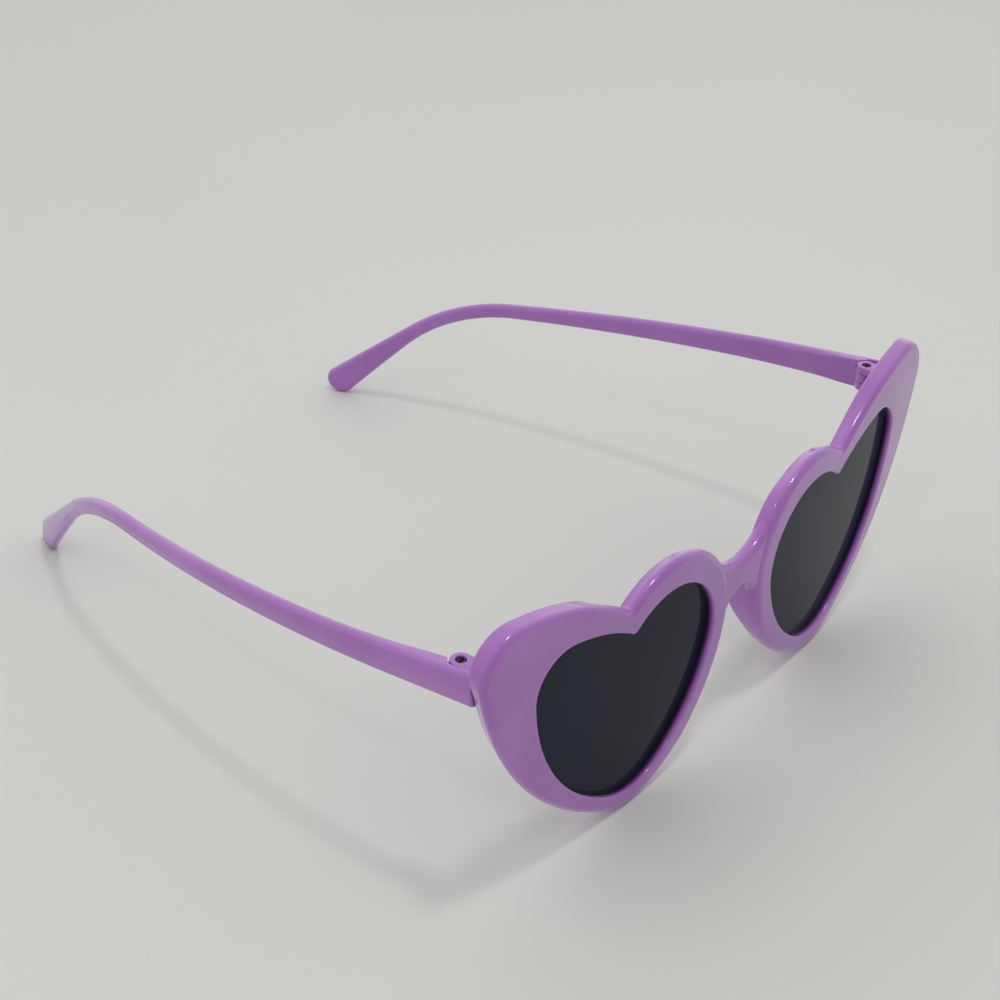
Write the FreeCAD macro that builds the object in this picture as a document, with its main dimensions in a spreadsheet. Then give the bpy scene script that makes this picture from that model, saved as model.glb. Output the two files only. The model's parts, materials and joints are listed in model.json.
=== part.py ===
import FreeCAD, Part
import math
import os
import Sketcher

# Heart shaped sunglasses: one moulded front, two lenses, two folding temples and two hinge screws.
# Modelled upright (X to the wearer's left, Y to the rear, Z up), then leaned back onto the ground.
# Every left piece is modelled and its right twin is its mirror image. Lengths in mm, angles in degrees.

SIZES = (
    ("face_radius", 620.0, "plan radius of the curved front face"),
    ("rim_depth", 3.9, "front face to rear face of the rim"),
    ("edge_round", 0.8, "round along the outer front edge"),
    ("rear_round", 0.5, "round along the outer rear edge"),
    ("opening_round", 0.5, "round along the front edge of a lens opening"),
    ("lobe_x", 25.3, "opening: inner lobe centre from the middle"),
    ("lobe_z", 31.7, "opening: inner lobe centre height"),
    ("lobe_r", 14.8, "opening: inner lobe radius"),
    ("inner_side_r", 33.6, "opening: side next to the nose"),
    ("point_x", 33.0, "opening: point centre from the middle"),
    ("point_z", 19.6, "opening: point centre height"),
    ("point_r", 13.9, "opening: point radius"),
    ("outer_side_r", 40.4, "opening: side next to the temple"),
    ("corner_x", 53.6, "opening: outer lobe centre from the middle"),
    ("corner_z", 41.2, "opening: outer lobe centre height"),
    ("corner_r", 7.9, "opening: outer lobe radius"),
    ("top_r", 39.8, "opening: top edge from the outer lobe to the notch"),
    ("notch_x", 35.7, "opening: centre of the notch round from the middle"),
    ("notch_round", 1.3, "opening: round of the notch"),
    ("crown_inset", 1.1, "outline: inner lobe centre, from the opening's towards the nose"),
    ("crown_rise", 1.5, "outline: inner lobe centre, from the opening's upwards"),
    ("crown_r", 19.1, "outline: inner lobe radius"),
    ("nose_side_r", 32.1, "outline: side next to the nose"),
    ("tip_out", 0.3, "outline: point centre, from the opening's away from the nose"),
    ("tip_drop", 3.2, "outline: point centre, from the opening's downwards"),
    ("tip_r", 14.3, "outline: point radius"),
    ("wing_side_r", 64.5, "outline: side next to the temple"),
    ("wing_out", 12.5, "outline: wing centre, from the opening's outer lobe outwards"),
    ("wing_rise", 9.6, "outline: wing centre, from the opening's outer lobe upwards"),
    ("wing_r", 8.2, "outline: wing tip radius"),
    ("wing_top_r", 55.4, "outline: top edge from the wing to the valley"),
    ("valley_out", 0.8, "outline: valley centre, from the notch centre away from the nose"),
    ("valley_round", 1.0, "outline: round of the valley between the lobes"),
    ("bridge_rise", 8.6, "bridge saddle above the inner lobe centre of the opening"),
    ("bridge_h", 6.7, "height of the bridge in the middle"),
    ("pad_inset", 1.9, "nose pad centre, from the opening towards the nose"),
    ("pad_drop", 4.9, "nose pad centre below the inner lobe centre of the opening"),
    ("pad_w", 2.2, "nose pad half width"),
    ("pad_d", 3.0, "nose pad reach behind the rear face"),
    ("pad_h", 6.5, "nose pad half height"),
    ("pad_lean", 12.0, "nose pad turn that follows the side of the heart"),
    ("lens_t", 1.6, "lens thickness"),
    ("lens_set", 1.7, "lens front behind the front face"),
    ("lens_lip", 0.8, "depth of the groove round the opening"),
    ("lens_side_gap", 0.1, "gap from the lens edge to the groove"),
    ("lens_face_gap", 0.05, "gap from a lens face to the groove"),
    ("hinge_out", 2.5, "hinge axis outwards from the wing centre"),
    ("hinge_drop", 3.3, "middle of the temple's front end below the wing centre"),
    ("hinge_reach", 6.3, "hinge axis behind the rear face"),
    ("lug_root", 2.0, "depth of the hinge lugs' roots in the rim"),
    ("stack_drop", 0.4, "middle of the knuckle stack below the middle of the temple"),
    ("knuckle_r", 2.0, "radius of every hinge knuckle"),
    ("front_knuckle_h", 1.7, "height of each front knuckle"),
    ("temple_knuckle_h", 2.0, "height of the temple knuckle"),
    ("knuckle_gap", 0.1, "gap between stacked knuckles"),
    ("swing_gap", 0.35, "gap round the front knuckles for the swinging temple"),
    ("web_l", 4.525, "length, along the temple, of the web that carries its knuckle"),
    ("shank_r", 0.6, "screw shank radius"),
    ("shank_fit", 0.05, "running clearance round the shank"),
    ("head_r", 0.9, "screw head radius"),
    ("head_h", 0.7, "screw head height"),
    ("head_fit", 0.1, "clearance round the screw head"),
    ("head_sink", 0.5, "screw head below the top of its knuckle"),
    ("root_r", 0.5, "radius of the screw end in the lower knuckle"),
    ("root_fit", 0.02, "clearance round the screw end"),
    ("slot_w", 0.4, "screwdriver slot width"),
    ("slot_d", 0.3, "screwdriver slot depth"),
    ("temple_t", 2.5, "temple thickness"),
    ("skin_t", 1.7, "temple wall left outside the knuckles"),
    ("temple_h", 6.8, "temple height at the hinge"),
    ("temple_round", 0.9, "round along the long edges of a temple"),
    ("butt_gap", 0.35, "gap from the temple end to the rear face"),
    ("straight_l", 18.0, "straight part of the temple in plan"),
    ("bow_r", 335.0, "inward bow of the temple in plan"),
    ("arm_slope", 7.4, "fall of the temple from the hinge to the bend"),
    ("arm_l", 97.7, "temple from its front end to the bend"),
    ("bend_r", 49.0, "bend over the ear, at half height"),
    ("bend_h", 3.5, "temple height at the bend"),
    ("paddle_slope", 42.8, "fall of the temple behind the ear"),
    ("paddle_l", 23.4, "temple from the bend to the centre of its round end"),
    ("paddle_r", 3.4, "radius of the temple's round end"),
)

DERIVED = (
    ("crown_x", "lobe_x - crown_inset"),
    ("crown_z", "lobe_z + crown_rise"),
    ("tip_x", "point_x + tip_out"),
    ("tip_z", "point_z - tip_drop"),
    ("wing_x", "corner_x + wing_out"),
    ("wing_z", "corner_z + wing_rise"),
    ("valley_x", "notch_x + valley_out"),
    ("bridge_top", "lobe_z + bridge_rise"),
    ("bridge_low", "bridge_top - bridge_h"),
    ("rear_radius", "face_radius - rim_depth"),
    ("hinge_x", "wing_x + hinge_out"),
    ("hinge_z", "wing_z - hinge_drop"),
    ("hinge_y", "face_radius - sqrt(rear_radius^2 - hinge_x^2) + hinge_reach"),
    ("stack_h", "2 * front_knuckle_h + 2 * knuckle_gap + temple_knuckle_h"),
    ("lower_z", "hinge_z - stack_drop - stack_h / 2"),
    ("middle_z", "lower_z + front_knuckle_h + knuckle_gap"),
    ("upper_z", "middle_z + temple_knuckle_h + knuckle_gap"),
    ("upper_top", "upper_z + front_knuckle_h"),
    ("head_z", "upper_top - head_sink - head_h"),
    ("swing_r", "knuckle_r + swing_gap"),
    ("temple_x", "hinge_x + swing_r + skin_t"),
    ("butt_y", "face_radius - sqrt(rear_radius^2 - temple_x^2) + butt_gap"),
    ("bow_x", "temple_x - bow_r"),
    ("bow_y", "butt_y + straight_l"),
    ("bend_y", "butt_y + arm_l * cos(arm_slope) - bend_r * sin(arm_slope)"),
    ("bend_z", "hinge_z - arm_l * sin(arm_slope) - bend_r * cos(arm_slope)"),
    ("paddle_y", "bend_y + bend_r * sin(paddle_slope) + paddle_l * cos(paddle_slope)"),
    ("paddle_z", "bend_z + bend_r * cos(paddle_slope) - paddle_l * sin(paddle_slope)"),
    # Shapes that trim or cut others reach well past them.
    ("trim_l", "4 * temple_x"),
    ("plan_end", "paddle_y + 2 * paddle_r"),
    ("relief_w", "3 * swing_r"),
    ("relief_h", "2 * temple_h"),
    ("relief_y", "butt_y - swing_r"),
    ("slot_l", "4 * head_r"),
)

# A point this close to a face lies on it, and faces that turn by more than this, in radians, meet in an edge.
TOUCH = 1e-3
SHARP = 0.2

doc = FreeCAD.newDocument("HeartSunglasses")
sheet = doc.addObject("Spreadsheet::Sheet", "Sizes")
for row, (alias, value, meaning) in enumerate(SIZES, 1):
    sheet.set("A%d" % row, meaning)
    sheet.set("B%d" % row, str(value))
    sheet.setAlias("B%d" % row, alias)
for row, (alias, formula) in enumerate(DERIVED, len(SIZES) + 1):
    sheet.set("B%d" % row, "=" + formula)
    sheet.setAlias("B%d" % row, alias)
doc.recompute()


def size(alias):
    """Value of a sheet cell as a plain number."""
    return float(sheet.get(alias))


def bind(item, **expressions):
    """Bind properties of a document object to expressions over the sheet's names."""
    for name, expression in expressions.items():
        item.setExpression(name.replace("__", "."), in_sheet(expression))


def in_sheet(expression):
    """The expression with every name of the sheet given its owner."""
    names = {alias for alias, *rest in SIZES + DERIVED}
    words = expression.replace("(", " ( ").replace(")", " ) ").split()
    return " ".join("Sizes." + word if word in names else word for word in words)


class Outline:
    """Closed outline of arcs and lines in a sketch, each piece joined to the one before it."""

    def __init__(self, body, name, plane):
        self.sketch = body.newObject("Sketcher::SketchObject", name)
        support = [f for f in body.Origin.OriginFeatures if f.Role == plane][0]
        self.sketch.AttachmentSupport = [(support, "")]
        self.sketch.MapMode = "FlatFace"
        self.pieces = []

    def rule(self, *terms):
        return self.sketch.addConstraint(Sketcher.Constraint(*terms))

    def drive(self, expression, *terms):
        """A dimension that follows an expression."""
        self.sketch.setExpression("Constraints[%d]" % self.rule(*terms), in_sheet(expression))

    def line(self, start, end, smooth=True):
        piece = self.sketch.addGeometry(Part.LineSegment(flat(start), flat(end)))
        self.join(piece, 1, 2, smooth)
        return piece

    def arc(self, centre, start, end, radius=None, smooth=True, hollow=False, x=None, y=None):
        """Arc from start to end; a hollow one runs clockwise. x and y place its centre."""
        first, last = (end, start) if hollow else (start, end)
        begin = math.atan2(first[1] - centre[1], first[0] - centre[0])
        finish = math.atan2(last[1] - centre[1], last[0] - centre[0])
        if finish < begin:
            finish += 2 * math.pi
        reach = math.dist(centre, start)
        circle = Part.Circle(flat(centre), FreeCAD.Vector(0, 0, 1), reach)
        piece = self.sketch.addGeometry(Part.ArcOfCircle(circle, begin, finish))
        self.join(piece, 2 if hollow else 1, 1 if hollow else 2, smooth)
        if radius is not None:
            self.drive(radius, "Radius", piece, reach)
        if x is not None:
            self.drive(x, "DistanceX", -1, 1, piece, 3, centre[0])
        if y is not None:
            self.drive(y, "DistanceY", -1, 1, piece, 3, centre[1])
        return piece

    def join(self, piece, entry, leave, smooth):
        if self.pieces:
            self.meet(self.pieces[-1], (piece, entry), smooth)
        self.pieces.append((piece, entry, leave))

    def meet(self, before, after, smooth):
        self.rule("Tangent" if smooth else "Coincident", before[0], before[2], after[0], after[1])

    def close(self, smooth=True):
        self.meet(self.pieces[-1], self.pieces[0], smooth)


def flat(point):
    return FreeCAD.Vector(point[0], point[1], 0)


def crossing(centre_a, reach_a, centre_b, reach_b):
    """Point at both reaches, on the left of the way from a to b."""
    gap = math.dist(centre_a, centre_b)
    along = (reach_a ** 2 - reach_b ** 2 + gap ** 2) / (2 * gap)
    aside = math.sqrt(reach_a ** 2 - along ** 2)
    ux = (centre_b[0] - centre_a[0]) / gap
    uz = (centre_b[1] - centre_a[1]) / gap
    return (centre_a[0] + along * ux - aside * uz, centre_a[1] + along * uz + aside * ux)


def toward(centre, target, reach):
    """Point at a reach from the centre, on the ray to the target; a negative reach is on the far side."""
    scale = reach / math.dist(centre, target)
    return (centre[0] + scale * (target[0] - centre[0]), centre[1] + scale * (target[1] - centre[1]))


OPENING = (
    ("lobe_x", "lobe_z", "lobe_r"), "inner_side_r", ("point_x", "point_z", "point_r"), "outer_side_r",
    ("corner_x", "corner_z", "corner_r"), "top_r", ("notch_x", "notch_round"),
)
RIM = (
    ("crown_x", "crown_z", "crown_r"), "nose_side_r", ("tip_x", "tip_z", "tip_r"), "wing_side_r",
    ("wing_x", "wing_z", "wing_r"), "wing_top_r", ("valley_x", "valley_round"),
)


def heart(names, extra=0.0):
    """Centres and tangent points of a heart of six arcs and a rounded notch, grown by extra.

    Lobe, point and corner are given circles. Each side and the top is an arc that holds its two
    neighbours from inside, and the notch round touches the lobe and the top from outside.
    """
    lobe, inner, point, outer, corner, top, notch = names
    c_lobe = (size(lobe[0]), size(lobe[1]))
    c_point = (size(point[0]), size(point[1]))
    c_corner = (size(corner[0]), size(corner[1]))
    r_lobe, r_point, r_corner = size(lobe[2]), size(point[2]), size(corner[2])
    r_inner, r_outer, r_top = size(inner), size(outer), size(top)
    x_notch, r_notch = size(notch[0]), size(notch[1])
    c_inner = crossing(c_lobe, r_inner - r_lobe, c_point, r_inner - r_point)
    c_outer = crossing(c_point, r_outer - r_point, c_corner, r_outer - r_corner)
    c_notch = (x_notch, c_lobe[1] + math.sqrt((r_lobe + r_notch) ** 2 - (x_notch - c_lobe[0]) ** 2))
    c_top = crossing(c_corner, r_top - r_corner, c_notch, r_top + r_notch)
    touch = (
        toward(c_lobe, c_notch, r_lobe + extra),
        toward(c_inner, c_lobe, r_inner + extra),
        toward(c_inner, c_point, r_inner + extra),
        toward(c_outer, c_point, r_outer + extra),
        toward(c_outer, c_corner, r_outer + extra),
        toward(c_top, c_corner, r_top + extra),
        toward(c_top, c_notch, r_top + extra),
    )
    return (c_lobe, c_inner, c_point, c_outer, c_corner, c_top, c_notch), touch


def far_arcs(outline, names, centres, touch, wider="", tighter=""):
    """The arcs that a whole heart and the half outline share, from the point round to the notch."""
    lobe, inner, point, outer, corner, top, notch = names
    outline.arc(centres[2], touch[2], touch[3], point[2] + wider, x=point[0], y=point[1])
    outline.arc(centres[3], touch[3], touch[4], outer + wider)
    outline.arc(centres[4], touch[4], touch[5], corner[2] + wider, x=corner[0], y=corner[1])
    outline.arc(centres[5], touch[5], touch[6], top + wider)
    outline.arc(centres[6], touch[6], touch[0], notch[1] + tighter, hollow=True, x=notch[0])


def heart_prism(name, grow=None, back=None):
    """Prism of the lens opening, grown by one named size and taken back by another."""
    body = doc.addObject("PartDesign::Body", name)
    outline = Outline(body, name + "Outline", "XZ_Plane")
    wider = (" + " + grow if grow else "") + (" - " + back if back else "")
    tighter = (" - " + grow if grow else "") + (" + " + back if back else "")
    extra = (size(grow) if grow else 0.0) - (size(back) if back else 0.0)
    centres, touch = heart(OPENING, extra)
    lobe, inner = OPENING[:2]
    outline.arc(centres[0], touch[0], touch[1], lobe[2] + wider, x=lobe[0], y=lobe[1])
    outline.arc(centres[1], touch[1], touch[2], inner + wider)
    far_arcs(outline, OPENING, centres, touch, wider, tighter)
    outline.close()
    return padded(body, outline)


def beside(centre, reach, level, up):
    """Radius of the circle on the middle line that passes the level and touches a circle from outside."""
    offset = up * (level - centre[1])
    return (centre[0] ** 2 + offset ** 2 - reach ** 2) / (2 * (reach - offset))


def half_prism():
    """Prism of the left half of the front: the heart, the saddle over the bridge and the arch under it."""
    body = doc.addObject("PartDesign::Body", "HalfFront")
    outline = Outline(body, "HalfFrontOutline", "XZ_Plane")
    centres, touch = heart(RIM)
    crown, nose_side = RIM[:2]
    top, low = (0.0, size("bridge_top")), (0.0, size("bridge_low"))
    saddle_r = beside(centres[0], size("crown_r"), top[1], 1)
    arch_r = beside(centres[1], size("nose_side_r"), low[1], -1)
    c_saddle, c_arch = (0.0, top[1] + saddle_r), (0.0, low[1] - arch_r)
    middle = outline.line(top, low)
    arch_end = toward(c_arch, centres[1], arch_r)
    arch = outline.arc(c_arch, low, arch_end, smooth=False, hollow=True)
    side = outline.arc(centres[1], arch_end, touch[2], nose_side)
    far_arcs(outline, RIM, centres, touch)
    saddle_end = toward(c_saddle, centres[0], saddle_r)
    lobe = outline.arc(centres[0], touch[0], saddle_end, crown[2], x=crown[0], y=crown[1])
    saddle = outline.arc(c_saddle, saddle_end, top, hollow=True)
    outline.close(smooth=False)
    outline.rule("Tangent", lobe, side)
    for piece, point in ((middle, 1), (middle, 2), (arch, 3), (saddle, 3)):
        outline.rule("PointOnObject", piece, point, -2)
    outline.drive("bridge_top", "DistanceY", -1, 1, middle, 1, top[1])
    outline.drive("bridge_low", "DistanceY", -1, 1, middle, 2, low[1])
    return padded(body, outline)


def padded(body, outline):
    """The body with its outline padded equally to both sides."""
    pad = body.newObject("PartDesign::Pad", outline.sketch.Name + "Pad")
    pad.Profile = outline.sketch
    pad.SideType = "Symmetric"
    bind(pad, Length="trim_l")
    return body


def cylinder(name, radius, height, x, y, z):
    """Upright cylinder bound to the sheet, its foot at x, y, z."""
    item = doc.addObject("Part::Cylinder", name)
    bind(item, Radius=radius, Height=height)
    bind(item, Placement__Base__x=x, Placement__Base__y=y, Placement__Base__z=z)
    return item


def box(name, length, width, height, x, y, z):
    """Box bound to the sheet, its lowest corner at x, y, z."""
    item = doc.addObject("Part::Box", name)
    bind(item, Length=length, Width=width, Height=height)
    bind(item, Placement__Base__x=x, Placement__Base__y=y, Placement__Base__z=z)
    return item


def pair(kind, name, base, tool):
    item = doc.addObject("Part::" + kind, name)
    item.Base = base
    item.Tool = tool
    return item


def joined(name, *shapes):
    item = doc.addObject("Part::MultiFuse", name)
    item.Shapes = list(shapes)
    item.Refine = True
    return item


def mirrored(name, source):
    item = doc.addObject("Part::Mirroring", name)
    item.Source = source
    item.Normal = (1, 0, 0)
    return item


def shell(name, front, thickness):
    """Curved plate about the face's axis, from a set-back behind the front face on."""
    foot = ("0", "face_radius", "0 - trim_l / 2")
    outer = cylinder(name + "Front", "face_radius - ( " + front + " )", "trim_l", *foot)
    inner = cylinder(name + "Rear", "face_radius - ( " + front + " + " + thickness + " )", "trim_l", *foot)
    return pair("Cut", name, outer, inner)


def sharp_edges(shape):
    """Number and middle of every edge where two faces meet at an angle."""
    for number, edge in enumerate(shape.Edges, 1):
        middle = edge.valueAt((edge.FirstParameter + edge.LastParameter) / 2)
        normals = []
        for face in shape.ancestorsOfType(edge, Part.Face):
            normals.append(face.normalAt(*face.Surface.parameter(middle)))
        if len(normals) == 2 and normals[0].getAngle(normals[1]) > SHARP:
            yield number, middle


def rounded(name, base, rounds):
    """The base with each edge in rounds, a list of edge number and radius, rounded."""
    item = doc.addObject("Part::Fillet", name)
    item.Base = base
    item.Edges = [(number, radius, radius) for number, radius in rounds]
    return item


def face_reach(point):
    """Distance of a point from the upright axis of the curved face."""
    return math.hypot(point.x, point.y - size("face_radius"))


def front_piece():
    """The front: outline, lens openings with their grooves, nose pads and hinge lugs."""
    blank = pair("Common", "FrontBlank", shell("FaceShell", "0", "rim_depth"), half_prism())
    doc.recompute()
    rounds = []
    for number, middle in sharp_edges(blank.Shape):
        if middle.x > TOUCH and abs(face_reach(middle) - size("face_radius")) < TOUCH:
            rounds.append((number, size("edge_round")))
        elif middle.x > TOUCH and abs(face_reach(middle) - size("rear_radius")) < TOUCH:
            rounds.append((number, size("rear_round")))
    opening = heart_prism("Opening")
    open_front = pair("Cut", "OpenFront", rounded("RoundedFront", blank, rounds), opening)
    doc.recompute()
    rounds = []
    for number, middle in sharp_edges(open_front.Shape):
        on_face = abs(face_reach(middle) - size("face_radius")) < TOUCH
        if on_face and opening.Shape.isInside(middle, TOUCH, True):
            rounds.append((number, size("opening_round")))
    rim = rounded("Rim", open_front, rounds)
    pad = doc.addObject("Part::Ellipsoid", "NosePad")
    bind(pad, Radius1="pad_h", Radius2="pad_w", Radius3="pad_d")
    pad.Placement.Rotation = FreeCAD.Rotation(FreeCAD.Vector(0, 1, 0), -size("pad_lean"))
    bind(pad, Placement__Base__x="lobe_x - lobe_r - pad_inset", Placement__Base__y="rim_depth",
         Placement__Base__z="lobe_z - pad_drop")
    lugs = []
    for name, foot in (("LowerLug", "lower_z"), ("UpperLug", "upper_z")):
        lugs.append(box(name, "2 * knuckle_r", "hinge_reach + lug_root", "front_knuckle_h",
                        "hinge_x - knuckle_r", "hinge_y - hinge_reach - lug_root", foot))
        lugs.append(cylinder(name + "Knuckle", "knuckle_r", "front_knuckle_h", "hinge_x", "hinge_y", foot))
    grown = joined("FrontHalf", rim, pad, *lugs)
    groove = pair("Common", "LensGroove", heart_prism("GrooveHeart", "lens_lip"),
                  shell("GrooveShell", "lens_set - lens_face_gap", "lens_t + 2 * lens_face_gap"))
    bores = joined(
        "FrontBores",
        cylinder("RootBore", "root_r + root_fit", "front_knuckle_h + 2 * knuckle_gap",
                 "hinge_x", "hinge_y", "lower_z - knuckle_gap"),
        cylinder("ShankBore", "shank_r + shank_fit", "front_knuckle_h + 2 * knuckle_gap",
                 "hinge_x", "hinge_y", "upper_z - knuckle_gap"),
        cylinder("HeadBore", "head_r + head_fit", "head_h + head_sink + knuckle_gap",
                 "hinge_x", "hinge_y", "head_z"))
    half = pair("Cut", "DrilledHalf", pair("Cut", "GroovedHalf", grown, groove), bores)
    return joined("Front", half, mirrored("OtherHalf", half))


def lens_piece():
    """A lens: the opening's heart grown into the groove, bent like the face."""
    return pair("Common", "Lens", heart_prism("LensHeart", "lens_lip", "lens_side_gap"),
                shell("LensShell", "lens_set", "lens_t"))


def heading(start, end, rise):
    """Left normal of the way on which end lies further to the left than start by the rise."""
    way = math.atan2(end[1] - start[1], end[0] - start[0]) - math.asin(rise / math.dist(start, end))
    return (-math.sin(way), math.cos(way))


def beyond(point, normal, reach):
    return (point[0] + reach * normal[0], point[1] + reach * normal[1])


def temple_side():
    """Prism of the temple seen from the side: a falling arm, a bend and a round paddle."""
    body = doc.addObject("PartDesign::Body", "TempleSide")
    outline = Outline(body, "TempleSideOutline", "YZ_Plane")
    bend, end = (size("bend_y"), size("bend_z")), (size("paddle_y"), size("paddle_z"))
    half, reach, tip = size("temple_h") / 2, size("bend_h") / 2, size("paddle_r")
    above, below = size("bend_r") + reach, size("bend_r") - reach
    low, high = (size("butt_y"), size("hinge_z") - half), (size("butt_y"), size("hinge_z") + half)
    arm_low, arm_high = heading(low, bend, -below), heading(high, bend, -above)
    end_low, end_high = heading(bend, end, below + tip), heading(bend, end, above - tip)
    outline.line(low, beyond(bend, arm_low, below))
    outline.arc(bend, beyond(bend, arm_low, below), beyond(bend, end_low, below), "bend_r - bend_h / 2",
                hollow=True, x="bend_y", y="bend_z")
    outline.line(beyond(bend, end_low, below), beyond(end, end_low, -tip))
    outline.arc(end, beyond(end, end_low, -tip), beyond(end, end_high, tip), "paddle_r",
                x="paddle_y", y="paddle_z")
    outline.line(beyond(end, end_high, tip), beyond(bend, end_high, above))
    outline.arc(bend, beyond(bend, end_high, above), beyond(bend, arm_high, above), "bend_r + bend_h / 2",
                x="bend_y", y="bend_z")
    outline.line(beyond(bend, arm_high, above), high)
    front = outline.line(high, low, smooth=False)
    outline.close(smooth=False)
    outline.rule("Vertical", front)
    outline.drive("butt_y", "DistanceX", -1, 1, front, 1, high[0])
    outline.drive("hinge_z + temple_h / 2", "DistanceY", -1, 1, front, 1, high[1])
    outline.drive("hinge_z - temple_h / 2", "DistanceY", -1, 1, front, 2, low[1])
    return padded(body, outline)


def temple_plan():
    """Prism of the temple seen from above: straight at the hinge, then bowed inwards past its end."""
    body = doc.addObject("PartDesign::Body", "TemplePlan")
    outline = Outline(body, "TemplePlanOutline", "XY_Plane")
    outside, inside = size("temple_x"), size("temple_x") - size("temple_t")
    butt, start = size("butt_y"), size("bow_y")
    stop = size("plan_end")
    centre = (size("bow_x"), start)
    wide, narrow = size("bow_r"), size("bow_r") - size("temple_t")
    far_out = (centre[0] + math.sqrt(wide ** 2 - (stop - start) ** 2), stop)
    far_in = (centre[0] + math.sqrt(narrow ** 2 - (stop - start) ** 2), stop)
    front = outline.line((inside, butt), (outside, butt))
    outer = outline.line((outside, butt), (outside, start), smooth=False)
    outline.arc(centre, (outside, start), far_out, "bow_r", x="bow_x", y="bow_y")
    rear = outline.line(far_out, far_in, smooth=False)
    outline.arc(centre, far_in, (inside, start), "bow_r - temple_t", smooth=False, hollow=True,
                x="bow_x", y="bow_y")
    inner = outline.line((inside, start), (inside, butt))
    outline.close(smooth=False)
    for piece in (front, rear):
        outline.rule("Horizontal", piece)
    for piece in (outer, inner):
        outline.rule("Vertical", piece)
    outline.drive("butt_y", "DistanceY", -1, 1, front, 1, butt)
    outline.drive("plan_end", "DistanceY", -1, 1, rear, 1, stop)
    return padded(body, outline)


def temple_piece():
    """A temple: the arm, cleared for the front knuckles, with its own knuckle between them."""
    blank = pair("Common", "TempleBlank", temple_side(), temple_plan())
    doc.recompute()
    rounds = []
    for number, middle in sharp_edges(blank.Shape):
        if middle.y > size("butt_y") + TOUCH:
            rounds.append((number, size("temple_round")))
    arm = rounded("TempleArm", blank, rounds)
    relief = joined(
        "HingeRelief",
        box("FrontRelief", "relief_w", "hinge_y - relief_y", "relief_h",
            "hinge_x + swing_r - relief_w", "relief_y", "hinge_z - relief_h / 2"),
        cylinder("KnuckleRelief", "swing_r", "relief_h", "hinge_x", "hinge_y", "hinge_z - relief_h / 2"))
    knuckle = cylinder("TempleKnuckle", "knuckle_r", "temple_knuckle_h", "hinge_x", "hinge_y", "middle_z")
    web = box("KnuckleWeb", "swing_r + skin_t / 2", "web_l", "temple_knuckle_h",
              "hinge_x", "hinge_y - knuckle_r / 2", "middle_z")
    bore = cylinder("TempleBore", "shank_r + shank_fit", "temple_knuckle_h + 2 * knuckle_gap",
                    "hinge_x", "hinge_y", "middle_z - knuckle_gap")
    hinged = joined("HingedArm", pair("Cut", "ClearedArm", arm, relief), knuckle, web)
    return pair("Cut", "Temple", hinged, bore)


def screw_piece():
    """A hinge screw: slotted head, shank through the temple knuckle, thinner end in the lower knuckle."""
    axis = ("hinge_x", "hinge_y")
    solid = joined(
        "ScrewSolid",
        cylinder("ScrewHead", "head_r", "head_h", *axis, "head_z"),
        cylinder("ScrewShank", "shank_r", "head_z - middle_z + knuckle_gap / 2", *axis,
                 "middle_z - knuckle_gap / 2"),
        cylinder("ScrewEnd", "root_r", "front_knuckle_h + knuckle_gap / 2", *axis, "lower_z"))
    slot = box("ScrewSlot", "slot_l", "slot_w", "2 * slot_d",
               "hinge_x - slot_l / 2", "hinge_y - slot_w / 2", "head_z + head_h - slot_d")
    return pair("Cut", "Screw", solid, slot)


def resting_lean():
    """Angle by which the glasses lean back so that the heart points and the temple ends share the ground."""
    heel = size("face_radius") - math.sqrt(size("rear_radius") ** 2 - size("tip_x") ** 2) - size("rear_round")
    run = size("paddle_y") - heel
    rise = size("paddle_z") - size("tip_z") + size("tip_r")
    return math.degrees(math.acos(size("paddle_r") / math.hypot(run, rise)) - math.atan2(run, rise))


front = front_piece()
left = {"lens": lens_piece(), "temple": temple_piece(), "hinge_screw": screw_piece()}
front.Label = "frame_front"
nodes = [front]
for kind, piece in left.items():
    piece.Label = "left_" + kind
    twin = mirrored("Right" + piece.Name, piece)
    twin.Label = "right_" + kind
    nodes += [piece, twin]
doc.recompute()

# The right pieces mirror the left ones across the middle plane, so they follow the same lean and shift.
lean = FreeCAD.Rotation(FreeCAD.Vector(1, 0, 0), -resting_lean())
placed = [front] + list(left.values())
for item in placed:
    item.Placement = FreeCAD.Placement(FreeCAD.Vector(0, 0, 0), lean)
reach = FreeCAD.BoundBox()
for item in placed:
    reach.add(item.Shape.optimalBoundingBox(False))
shift = FreeCAD.Vector(0, -(reach.YMin + reach.YMax) / 2, -reach.ZMin)
for item in placed:
    item.Placement = FreeCAD.Placement(shift, lean)
doc.recompute()

for item in doc.Objects:
    if "Invalid" in item.State or "Error" in item.State:
        raise RuntimeError("%s did not build: %s" % (item.Name, item.State))
os.makedirs("parts", exist_ok=True)
for item in nodes:
    if item.Shape.isNull() or not item.Shape.isValid() or len(item.Shape.Solids) != 1:
        raise RuntimeError("%s is not one valid solid" % item.Label)
    item.Shape.exportStep("parts/%s.step" % item.Label)
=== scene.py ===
import json
import math

import bmesh
import bpy
import numpy as np
from bpy.props import FloatProperty, FloatVectorProperty, PointerProperty
from mathutils import Matrix, Vector


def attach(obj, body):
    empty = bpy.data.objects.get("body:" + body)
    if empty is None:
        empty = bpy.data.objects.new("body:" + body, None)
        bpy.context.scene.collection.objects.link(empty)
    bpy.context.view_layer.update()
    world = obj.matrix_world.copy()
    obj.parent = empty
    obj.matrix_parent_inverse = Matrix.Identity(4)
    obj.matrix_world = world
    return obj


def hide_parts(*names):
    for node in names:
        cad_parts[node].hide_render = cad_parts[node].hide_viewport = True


bl_info = {
    "name": "Heart Sunglasses",
    "version": (1, 0, 0),
    "blender": (4, 5, 0),
    "location": "View3D > Sidebar > Sunglasses",
    "description": "Moulded heart shaped sunglasses with tinted lenses and folding temples",
    "category": "Object",
}

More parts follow.
